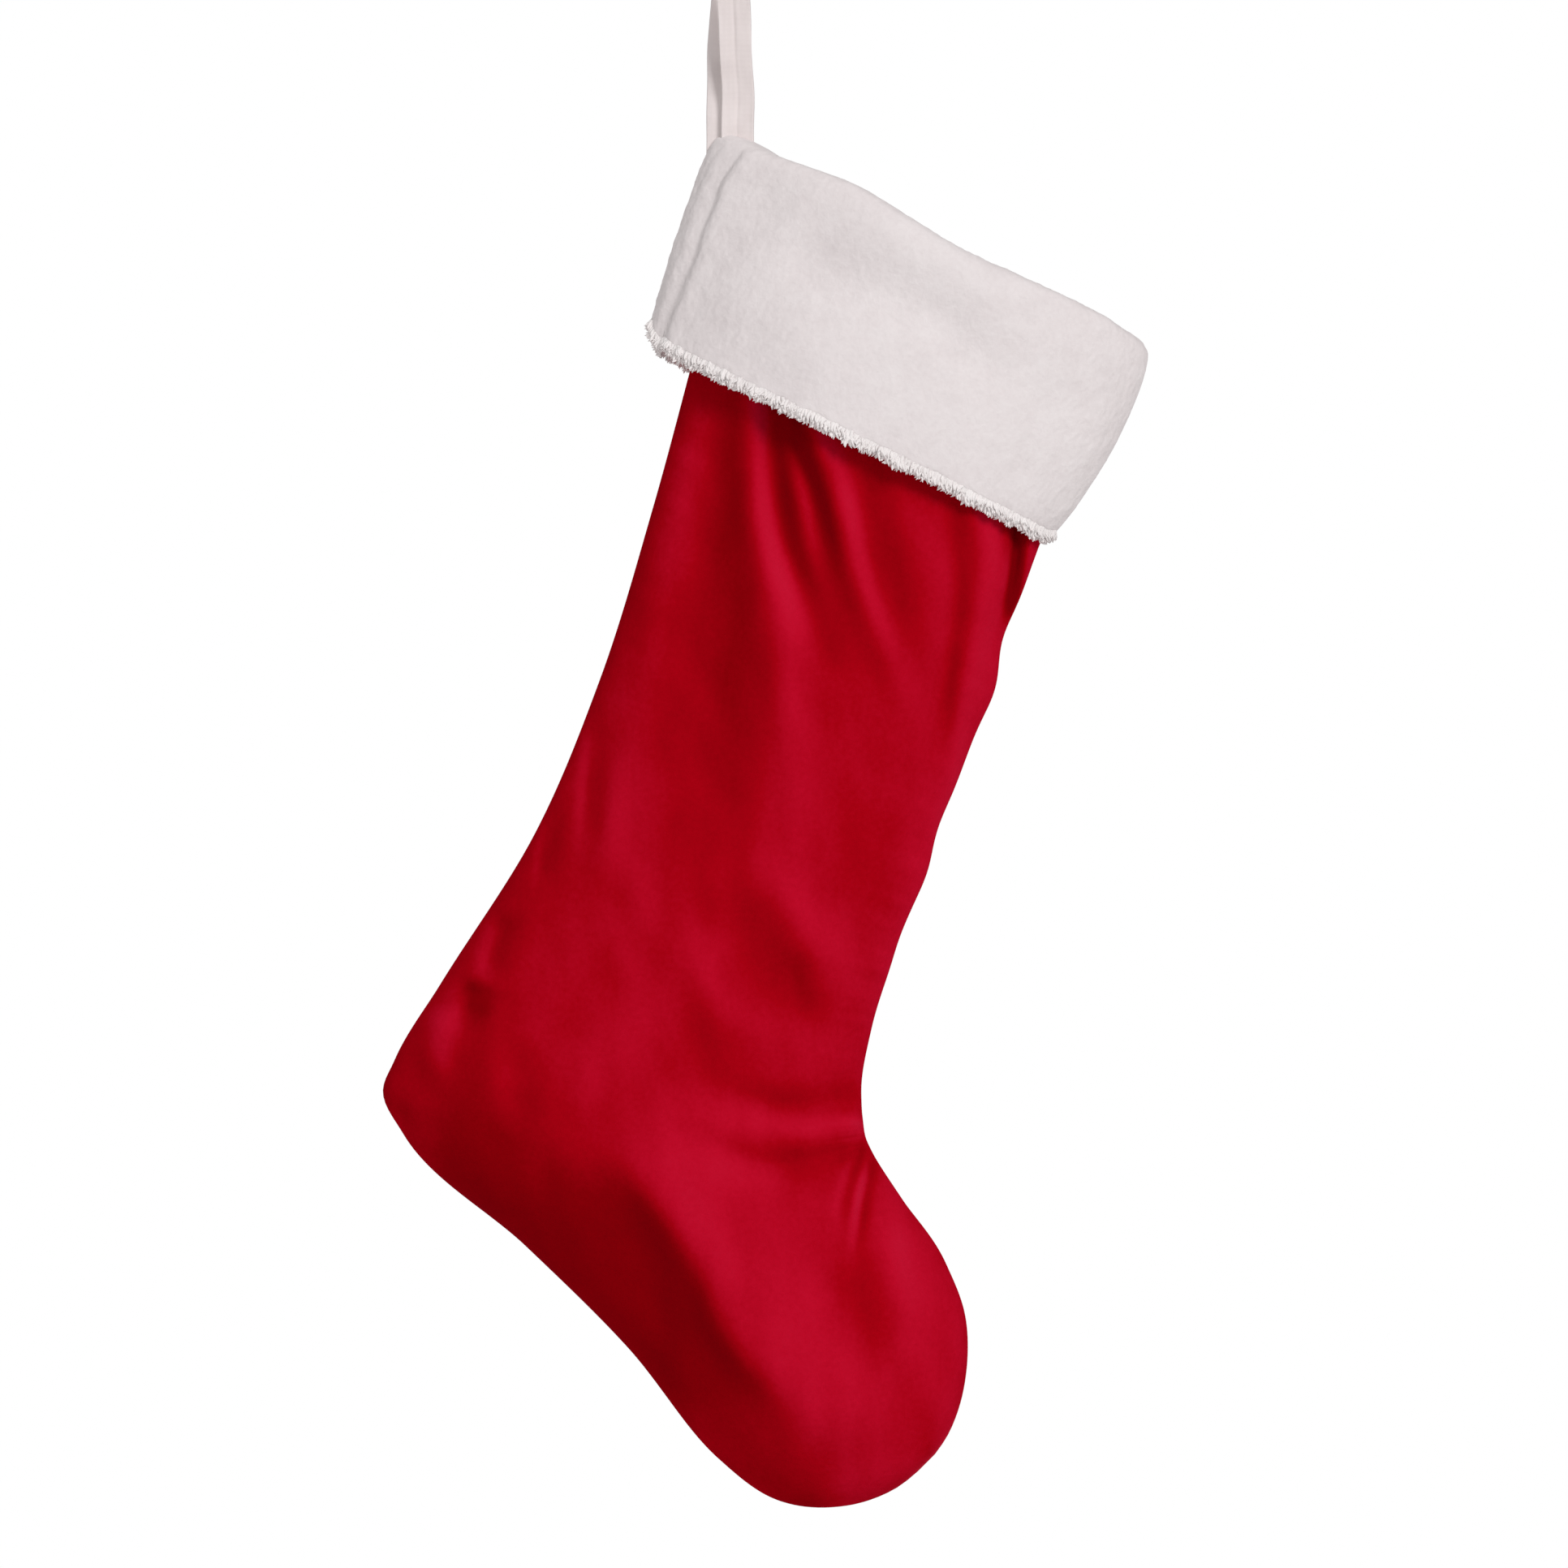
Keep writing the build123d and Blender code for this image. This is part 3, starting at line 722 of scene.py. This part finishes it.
# The fold over the mouth rises and dips along its run: pattern u, half length and rise, in mm.
mouth_waves = [(0, 8, 1.5), (50, 26, 2.6), (112, 26, -1.4), (183, 7, -1.0)]
heel_seam_turn = (math.pi - 0.461, math.pi - 0.366)  # ring angle of the heel-side seam, at mouth and hem
# Height in mm and spread in ring angle: the groove of that seam, and how the hem lifts at the heel, at the
# toe and beside the seam on the front.
seam_groove, heel_lift, toe_lift, seam_lift = (1.2, 0.06), (9.0, 0.26), (2.0, 0.09), (1.5, 0.35)
lip_turn, lip_spread, front_lip, back_lip = 0.12, 0.07, 1.3, 0.4  # the rolled lip beside the groove
hem_reach, mouth_reach = 26 * mm, 24 * mm  # how far the hem's and the mouth's waves carry into the cuff


def cuff_panel(name, on_front, columns, swells):
    """A plush panel round part of the ring: toe side to heel seam on the front, and on from it behind."""
    inward, down = cuff_profile()
    drop = np.clip(down / cuff_height, 0, 1)[:, None]
    wander = [0.03 * noise.noise(Vector((v / (13 * mm), 6.0, 1.0))) for v in down]
    seam = heel_seam_turn[0] + (heel_seam_turn[1] - heel_seam_turn[0]) * drop + np.array(wander)[:, None]
    spread = np.linspace(0, 1, columns)[None, :]
    angles = spread * seam if on_front else seam + spread * (2 * math.pi - seam)
    inward = np.repeat(inward[:, None], columns, axis=1)
    down = np.repeat(down[:, None], columns, axis=1)
    from_seam = np.abs(angles - seam)
    groove = soft_bump(from_seam, *seam_groove)
    lip = soft_bump(from_seam - lip_turn, front_lip if on_front else back_lip, lip_spread)
    waves = np.zeros(angles.shape)
    for row in range(angles.shape[0]):
        for column in range(columns):
            turn = angles[row, column]
            long_wave = 0.7 * noise.noise(Vector((turn * 5.0, 2.0, 0)))
            waves[row, column] = long_wave + 0.4 * noise.noise(Vector((turn * 14.0, 2.0, 3)))
    waves -= soft_bump(angles - math.pi, *heel_lift)
    waves -= soft_bump(np.sin(angles / 2), *toe_lift)
    if on_front:
        waves -= soft_bump(from_seam, *seam_lift)
    hem_share = np.clip((down - 58 * mm) / hem_reach, 0, 1) ** 2
    mouth_share = np.clip(1 - down / mouth_reach, 0, 1) ** 2
    lifted = np.zeros(angles.shape)
    ring_u = 91.25 + 90.75 * np.cos(angles)
    for place, half_length, rise in mouth_waves:
        lifted += soft_bump(ring_u - place, rise, half_length)
    down = down + hem_share * waves * mm - mouth_share * lifted * mm
    outer_u, outer_y = ring_point(angles, np.clip(down, 0, cuff_height), False)
    inner_u, inner_y = ring_point(angles, down, True)
    outside = np.clip(1 - inward / 0.25, 0, 1)
    push = inward + (groove - lip) / 30 * outside
    u = outer_u * (1 - push) + inner_u * push
    y = outer_y * (1 - push) + inner_y * push
    place = hang(u, down)
    points = np.stack([place[..., 0], -y, place[..., 1]], axis=-1)
    swell = np.zeros(outside.shape)
    for path, left, right, height, head, tail in swells:
        swell += fold(points[..., [0, 2]], path, left, right, height, head, tail)
    points[..., 1] -= swell * outside * np.abs(np.sin(angles))
    piece = cloth_grid(name, columns, cuff_steps)
    lay(piece, points)
    return piece


def pile(piece, seed, depth):
    """Raises the plush's fine curly surface along its normals, and leaves the cut edges alone."""
    columns = len(piece.data.vertices) // cuff_steps
    normals = np.zeros(len(piece.data.vertices) * 3)
    piece.data.vertex_normals.foreach_get("vector", normals)
    spots = np.zeros(len(piece.data.vertices) * 3)
    piece.data.vertices.foreach_get("co", spots)
    normals, spots = normals.reshape(-1, 3), spots.reshape(-1, 3)
    lift = np.zeros(len(spots))
    for i, spot in enumerate(spots):
        at = Vector(spot) / mm
        curl = noise.noise(at / 1.8 + Vector((seed, 0, 0)))
        clump = noise.noise(at / 5.5 + Vector((0, seed, 0)))
        soft = noise.noise(at / 19 + Vector((0, 0, seed)))
        from_edge = min(i % columns, columns - 1 - i % columns)
        lift[i] = depth * (0.5 * curl + 0.45 * clump + 0.9 * soft) * min(1, from_edge / 5)
    piece.data.vertices.foreach_set("co", (spots + normals * lift[:, None]).reshape(-1))
    piece.data.update()


def curly_pile():
    """Short curly pile: the height of its curls and clumps, and a tone with painted shade lower down between
    them, mixed with random patches.
    """
    group, start, stop = effect("curly_pile", ["Curl Scale"], ["Height", "Painted Shade and Tone"])
    nodes, links = group.nodes, group.links
    coords = start.outputs["Coordinates"]
    curls = noise_height(nodes, links, coords, 560, 4)
    links.new(start.outputs["Curl Scale"], curls.node.inputs["Scale"])
    clumps = noise_height(nodes, links, coords, 120, 3)
    patches = noise_height(nodes, links, coords, 18, 2)
    height = mixed(nodes, links, curls, clumps, 0.5)
    links.new(height, stop.inputs["Height"])
    links.new(mixed(nodes, links, height, patches, 0.4), stop.inputs["Painted Shade and Tone"])
    return group


pile_effect = curly_pile()


def plush_finish(name, shades, curl_scale):
    """Warm white plush: short curly pile, with painted shade down between the curls."""
    values = {"Roughness": 0.95, "Specular IOR Level": 0.15, "Sheen Weight": 0.35, "Sheen Roughness": 0.5}
    finish, nodes, links, shader = new_finish(name, values)
    curls = place_effect(nodes, links, pile_effect, {"Curl Scale": curl_scale})
    ramp = colour_ramp(nodes, links, curls.outputs["Painted Shade and Tone"], list(zip((0.30, 0.50, 0.70), shades)))
    links.new(ramp.outputs["Color"], shader.inputs["Base Color"])
    relief(nodes, links, curls.outputs["Height"], 0.6, 0.8 * mm)
    return finish


# Plush colours from the painted shade down between the curls to the tops of the curls.
plush_shades = [(0.665, 0.606, 0.61), (0.725, 0.668, 0.671), (0.77, 0.72, 0.722)]
# The fringe's plush is painted lighter than the cuff's: painted light that makes up for the shade its tufts
# cast on each other.
fringe_lightened_shades = [(0.77, 0.72, 0.715), (0.83, 0.785, 0.78), (0.88, 0.845, 0.84)]
plush = plush_finish("plush_finish", plush_shades, 560)
lightened_fringe_plush = plush_finish("lightened_fringe_finish", fringe_lightened_shades, 700)
cuff_front = cuff_panel("plush_front", True, cuff_columns, cuff_swells)
cuff_back = cuff_panel("plush_back", False, cuff_columns + 30, [])
for piece, facing, seed in ((cuff_front, -1, 1.0), (cuff_back, 1, 4.0)):
    columns = len(piece.data.vertices) // cuff_steps
    middle = piece.data.polygons[(cuff_steps * 3 // 5) * (columns - 1) + columns // 2]
    if middle.normal.y * facing < 0:
        piece.data.flip_normals()
    pile(piece, seed, pile_lift)
    piece.data.materials.append(plush)


# The fringe is the pile's curled ends past the cut edge: one tuft, modelled once and copied along the hem.
def read_mesh(piece):
    """Points and faces of a mesh object, which is then removed."""
    points = np.array([tuple(v.co) for v in piece.data.vertices])
    faces = [tuple(p.vertices) for p in piece.data.polygons]
    mesh = piece.data
    bpy.data.objects.remove(piece)
    bpy.data.meshes.remove(mesh)
    return points, faces


def copies(name, pattern, frames):
    """One object made of copies of a pattern, each placed by its own origin and three axes."""
    points, faces = pattern
    everywhere = np.vstack([origin + points @ axes for origin, axes in frames])
    count = len(points)
    all_faces = [tuple(i + k * count for i in face) for k in range(len(frames)) for face in faces]
    mesh = bpy.data.meshes.new(name)
    mesh.from_pydata(everywhere.tolist(), [], all_faces)
    mesh.shade_smooth()
    piece = bpy.data.objects.new(name, mesh)
    bpy.context.collection.objects.link(piece)
    return piece


def cut_across(heights):
    """Cuts the piece in edit mode into rings at the given heights."""
    for height in heights:
        bpy.ops.mesh.select_all(action="SELECT")
        bpy.ops.mesh.bisect(plane_co=(0, 0, height), plane_no=(0, 0, 1))


def tuft_pattern():
    """A tuft one long along +Z: a soft lock that swells, tapers and curls over towards +X."""
    deselect()
    bpy.ops.mesh.primitive_cylinder_add(
        vertices=5, radius=0.13, depth=1, location=(0, 0, 0.5), end_fill_type="NOTHING"
    )
    tuft = bpy.context.object
    bpy.ops.object.transform_apply(location=True)
    bpy.ops.object.mode_set(mode="EDIT")
    cut_across((0.35, 0.65, 0.87))
    bpy.ops.object.mode_set(mode="OBJECT")
    for vertex in tuft.data.vertices:
        t = vertex.co.z
        slim = (1 - t**3) * (0.8 + 0.5 * t) + 0.08
        vertex.co.x = vertex.co.x * slim + 0.30 * t * t
        vertex.co.y = vertex.co.y * slim + 0.08 * math.sin(3.0 * t)
        vertex.co.z = t - 0.12 * t**3
    return read_mesh(tuft)


lock = tuft_pattern()
fringe_start = 78.8 * mm  # down the cuff
fringe_band = (-0.05, 0.13)  # how far in, as in the cuff's profile


def fringe(name, panel, count, seed):
    """Tufts scattered along the panel's lower edge, hanging down and curling every way."""
    draw = random.Random(seed)
    columns = len(panel.data.vertices) // cuff_steps
    spots = np.zeros(len(panel.data.vertices) * 3)
    panel.data.vertices.foreach_get("co", spots)
    spots = spots.reshape(cuff_steps, columns, 3)
    inward, down = cuff_profile()
    banded = (down > fringe_start) & (inward > fringe_band[0]) & (inward < fringe_band[1])
    low_rows = [row for row in range(cuff_steps) if banded[row]]
    fall = np.array((-math.sin(lean), 0, -math.cos(lean)))
    frames = []
    for _ in range(count):
        row = draw.choice(low_rows)
        column = draw.uniform(0, columns - 1.001)
        low = int(column)
        root = spots[row, low] * (1 - column + low) + spots[row, low + 1] * (column - low)
        run = spots[row, low + 1] - spots[row, low]
        run /= max(np.linalg.norm(run), 1e-9)
        out = np.cross(run, fall)
        out /= np.linalg.norm(out)
        from_inside = spots[row, low] - spots[low_rows[-1] + 12, low]
        if out @ from_inside < 0:
            out = -out
        bunch = noise.noise(Vector((column / 4.5, seed, 0)))
        sway = 0.7 * noise.noise(Vector((column / 5.5, seed, 7))) + draw.uniform(-0.25, 0.25)
        up = fall * draw.uniform(0.9, 1.2) + out * draw.uniform(-0.1, 0.3) + run * sway
        up /= np.linalg.norm(up)
        turn = draw.uniform(0, 2 * math.pi)
        side = np.cross(up, run * math.cos(turn) + out * math.sin(turn))
        side /= np.linalg.norm(side)
        size = draw.uniform(2.0, 4.4) * (1 + 0.5 * bunch) * mm
        stout = size * draw.uniform(0.9, 1.4)
        axes = np.stack([side * stout, np.cross(up, side) * stout, up * size])
        frames.append((root - up * 0.25 * size, axes))
    piece = copies(name, lock, frames)
    piece.data.materials.append(lightened_fringe_plush)
    return piece


fringe_front = fringe("plush_fringe_front", cuff_front, 3200, 31)
fringe_back = fringe("plush_fringe_back", cuff_back, 3400, 37)
for piece, tufts, node in (
    (cuff_front, fringe_front, "cuff_front"),
    (cuff_back, fringe_back, "cuff_back"),
):
    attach(piece, "stocking")
    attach(tufts, "stocking")
    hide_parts(node)

# ---- Hanging loop ----
# One strip of white cloth pressed along its middle, taken over the hook and back. Its two ends lie
# together and are caught in the seam at the cuff's heel-side corner.
strip_width = 12 * mm
strip_thick = 1.1 * mm
seat_radius = 7.8 * mm  # to the middle of the strip
strip_slant = 2.9 * mm  # how far each end lies to the side of the bend
pressed_crease, edge_cup = 0.55 * mm, 0.45 * mm
strip_columns, strip_rows = 25, 220


def strip_route():
    """Middle line of the strip in Y and Z, from the front end up over the hook and down to the back end."""
    front_low = np.array([[-0.9, -75.0], [-0.9, -62.0], [-1.0, -54.0]]) * mm
    strand = np.array([[-2.3, -44.0], [-4.6, -26.0], [-7.0, -8.0]]) * mm
    turns = np.linspace(math.radians(172), math.radians(90), 6)
    bend = np.stack([np.cos(turns), np.sin(turns)], 1) * seat_radius
    half = np.vstack([front_low, strand, bend])
    other = half[:-1][::-1] * [-1, 1]
    line = flow(np.vstack([half, other]), 10)
    run = np.concatenate([[0], np.cumsum(np.linalg.norm(np.diff(line, axis=0), axis=1))])
    even = np.linspace(0, run[-1], strip_rows)
    return np.stack([np.interp(even, run, line[:, 0]), np.interp(even, run, line[:, 1])], 1), run[-1]


strip_line, strip_length = strip_route()
strip_piece = cloth_grid("loop_strip", strip_columns, strip_rows)
across = np.linspace(-0.5, 0.5, strip_columns)
strip_points = np.zeros((strip_rows, strip_columns, 3))
for row, (y, z) in enumerate(strip_line):
    ahead = strip_line[min(row + 1, strip_rows - 1)] - strip_line[max(row - 1, 0)]
    ahead = ahead / np.linalg.norm(ahead)
    normal = np.array([-ahead[1], ahead[0]])
    sideways = strip_slant * math.cos(math.pi * row / (strip_rows - 1))
    wander = 0.5 * mm * noise.noise(Vector((row / 22, 0, 4)))
    narrow = 1 + 0.05 * noise.noise(Vector((row / 30, 3, 1)))
    for column, share in enumerate(across):
        crease = pressed_crease * (1 - min(1, abs(share + 0.02) / 0.12)) ** 2
        cup = edge_cup * (2 * share) ** 2
        lift = cup - crease + 0.2 * mm * noise.noise(Vector((share * 5, row / 16, 8)))
        strip_points[row, column, 0] = sideways + wander + share * strip_width * narrow
        strip_points[row, column, 1] = y + normal[0] * lift
        strip_points[row, column, 2] = z + normal[1] * lift
lay(strip_piece, strip_points)
thicken = strip_piece.modifiers.new("cloth", "SOLIDIFY")
thicken.thickness = strip_thick
thicken.offset = 0
deselect()
strip_piece.select_set(True)
bpy.context.view_layer.objects.active = strip_piece
bpy.ops.object.modifier_apply(modifier=thicken.name)
strip_finish = weave_finish("strip_finish", (0.68, 0.60, 0.592), (0.86, 0.785, 0.777), 0.35 * mm)
strip_piece.data.materials.append(strip_finish)
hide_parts("hanging_loop", "loop_ends")
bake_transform(strip_piece)

# ---- Stitching ----
# Lockstitch rows in doubled cotton thread: the seams of shell and lining, the two seams of the cuff,
# the mouth seam, and the bar tack through the strip's ends.
thread_radius = 0.28 * mm
stitch_length = 3 * mm
tack_stitch = 1.7 * mm
tack_turns = 16
tack_depth = 1.75 * mm  # in front of the strip's middle
shell_stitch_inset, lining_stitch_inset = 6 * mm, 11 * mm
mouth_stitch_drop = 20 * mm  # below the top of the mouth


def thread_twist():
    """The plies of twisted thread, as fine slanting bands."""
    group, start, stop = effect("thread_twist", [], ["Plies"])
    plies = group.nodes.new("ShaderNodeTexWave")
    plies.bands_direction = "DIAGONAL"
    plies.inputs["Scale"].default_value = 900
    group.links.new(start.outputs["Coordinates"], plies.inputs["Vector"])
    group.links.new(plies.outputs["Fac"], stop.inputs["Plies"])
    return group


twist = thread_twist()


def thread_finish(name, colour):
    """Twisted cotton thread, matt, with painted shade between its plies."""
    finish, nodes, links, shader = new_finish(name, {"Roughness": 0.8})
    plies = place_effect(nodes, links, twist, {})
    # Painted shade between the plies.
    dark = tuple(c * 0.72 for c in colour)
    ramp = colour_ramp(nodes, links, plies.outputs["Plies"], [(0.2, dark), (0.8, colour)])
    links.new(ramp.outputs["Color"], shader.inputs["Base Color"])
    relief(nodes, links, plies.outputs["Plies"], 0.4, 0.1 * mm)
    return finish


white_thread = thread_finish("white_thread_finish", (0.80, 0.78, 0.75))
red_thread = thread_finish("red_thread_finish", (0.30, 0.006, 0.014))


def stitch_pattern():
    """A stitch one long along +Z and one thick: a rounded thread."""
    deselect()
    bpy.ops.mesh.primitive_cylinder_add(vertices=6, radius=1, depth=0.9)
    stitch = bpy.context.object
    bpy.ops.object.mode_set(mode="EDIT")
    cut_across((0.3, -0.3))
    bpy.ops.object.mode_set(mode="OBJECT")
    for vertex in stitch.data.vertices:
        if abs(vertex.co.z) > 0.4:
            vertex.co.x *= 0.45
            vertex.co.y *= 0.45
    return read_mesh(stitch)


stitch = stitch_pattern()


def stitch_row(name, line, pitch):
    """A row of stitches along a line, one copy after another."""
    line = np.array(line, float)
    run = np.concatenate([[0], np.cumsum(np.linalg.norm(np.diff(line, axis=0), axis=1))])
    marks = np.linspace(0, run[-1], max(2, int(run[-1] / pitch)) + 1)
    spots = np.stack([np.interp(marks, run, line[:, k]) for k in range(3)], 1)
    frames = []
    for start, stop in zip(spots, spots[1:]):
        along = stop - start
        side = np.cross(along, (0.1, 1.0, 0.2))
        side *= thread_radius / np.linalg.norm(side)
        other = np.cross(along, side)
        other *= thread_radius / np.linalg.norm(other)
        frames.append(((start + stop) / 2, np.stack([side, other, along])))
    return copies(name, stitch, frames)


def seam_route(inset, last=None):
    """Line that keeps the given distance inside the pattern's edge, from mouth round the toe to mouth."""
    heel, toe, _ = even_rows(160, last)
    way = toe - heel
    way /= np.maximum(np.linalg.norm(way, axis=1), 1e-6)[:, None]
    keep = np.linalg.norm(toe - heel, axis=1) > 2.4 * inset
    route = np.vstack([(heel + way * inset)[keep], (toe - way * inset)[keep][::-1]])
    return np.stack([route[:, 0], np.zeros(len(route)), route[:, 1]], 1)


shell_line = seam_route(shell_stitch_inset)
lining_line = seam_route(lining_stitch_inset, lining_end)


def cuff_route(turns, first, last, inward):
    """Line down the cuff inside the plush, between the ring angles given for the mouth and the hem."""
    downs = np.linspace(first, last, 30)
    angle = turns[0] + (turns[1] - turns[0]) * downs / cuff_height
    outer_u, outer_y = ring_point(angle, downs, False)
    inner_u, inner_y = ring_point(angle, downs, True)
    place = hang(outer_u * (1 - inward) + inner_u * inward, downs)
    depth = -(outer_y * (1 - inward) + inner_y * inward)
    return np.stack([place[:, 0], depth, place[:, 1]], 1)


heel_line = cuff_route(heel_seam_turn, 18 * mm, 78 * mm, 0.20)
toe_line = cuff_route((0, 0), 8 * mm, 78 * mm, 0.10)
mouth_angles = np.linspace(0, 2 * math.pi, 160)
mouth_u, mouth_y = ring_point(mouth_angles, mouth_stitch_drop, True)
mouth_place = hang(mouth_u, mouth_stitch_drop)
mouth_line = np.stack([mouth_place[:, 0], -mouth_y * 0.965, mouth_place[:, 1]], 1)
tack_low, tack_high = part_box("loop_tack_thread")
tack_line = []
for turn in range(tack_turns + 1):
    x = tack_low[0] + (tack_high[0] - tack_low[0]) * turn / tack_turns
    z = tack_high[2] if turn % 2 else tack_low[2]
    tack_line.append((x, -tack_depth, z))
for name, node, line, pitch, finish, slot in (
    ("shell_stitches", "shell_seam_thread", shell_line, stitch_length, red_thread, "red_thread"),
    ("lining_stitches", "lining_seam_thread", lining_line, stitch_length, white_thread, "white_thread"),
    ("cuff_heel_stitches", "cuff_heel_seam_thread", heel_line, stitch_length, white_thread, "white_thread"),
    ("cuff_toe_stitches", "cuff_toe_seam_thread", toe_line, stitch_length, white_thread, "white_thread"),
    ("mouth_stitches", "mouth_seam_thread", mouth_line, stitch_length, white_thread, "white_thread"),
    ("loop_bar_tack", "loop_tack_thread", tack_line, tack_stitch, white_thread, "white_thread"),
):
    piece = stitch_row(name, line, pitch)
    piece.data.materials.append(finish)
    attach(piece, "stocking")
    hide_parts(node)
